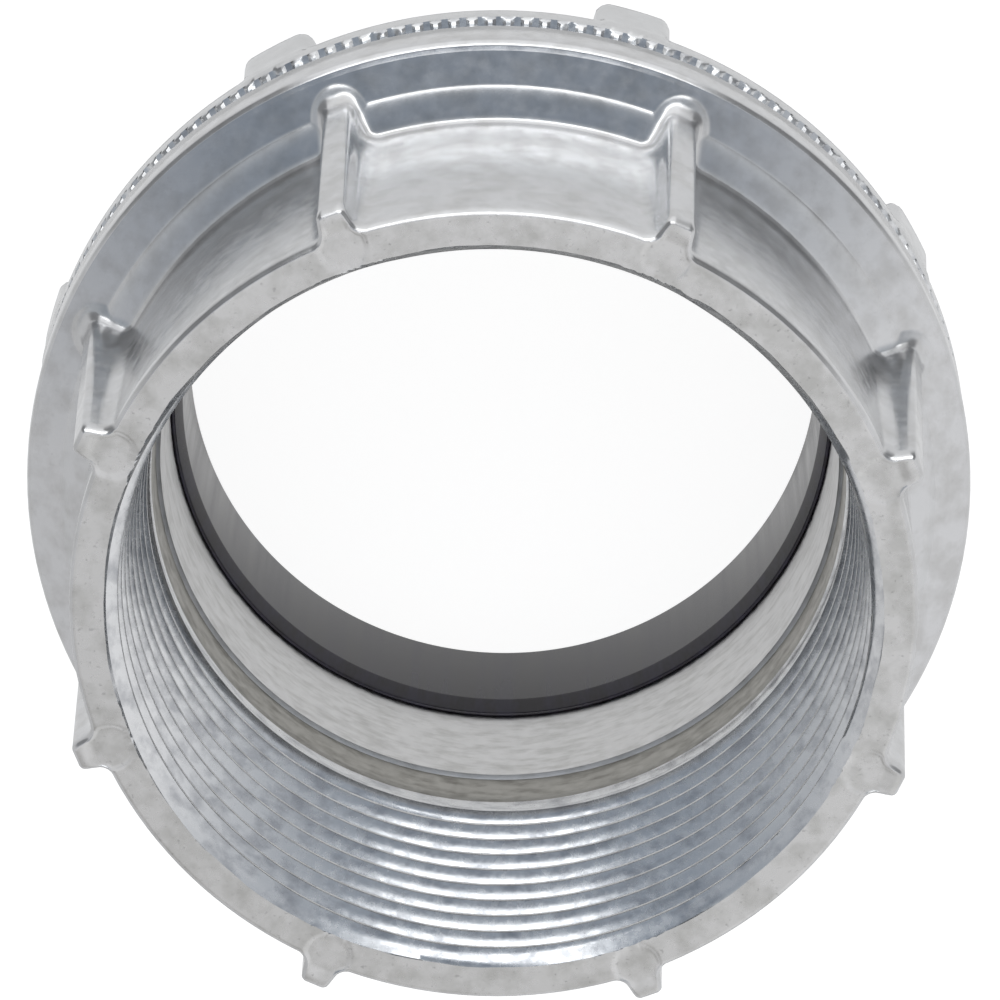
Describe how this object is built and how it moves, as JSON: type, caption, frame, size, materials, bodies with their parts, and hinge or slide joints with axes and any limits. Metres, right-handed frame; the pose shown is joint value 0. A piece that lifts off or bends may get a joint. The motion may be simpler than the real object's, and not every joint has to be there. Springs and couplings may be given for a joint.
{
  "type": "conduit hub",
  "caption": "Watertight die-cast conduit hub with a female tapered thread, ribbed barrel, flange, sealing ring, insulating liner and toothed locknut.",
  "frame": {"origin": "centre of the insulating liner's lowest face, on the hub's own axis", "axes": "+Z along the hub's axis from the nipple's end to the threaded mouth, +X and +Y across it"},
  "size_m": [0.089, 0.089, 0.0665],
  "materials": {
    "zinc": "satin",
    "nut_zinc": "satin",
    "liner_plastic": "gloss",
    "seal_rubber": "matte"
  },
  "bodies": {
    "hub": {"hub_body": "zinc", "insulating_liner": "liner_plastic", "sealing_ring": "seal_rubber"},
    "nut": {"locknut": "nut_zinc"}
  },
  "joints": [
    {"name": "locknut_travel", "type": "slide", "parent": "hub", "child": "nut", "axis": [0, 0, -1], "range_m": [0, 0.01905]}
  ]
}
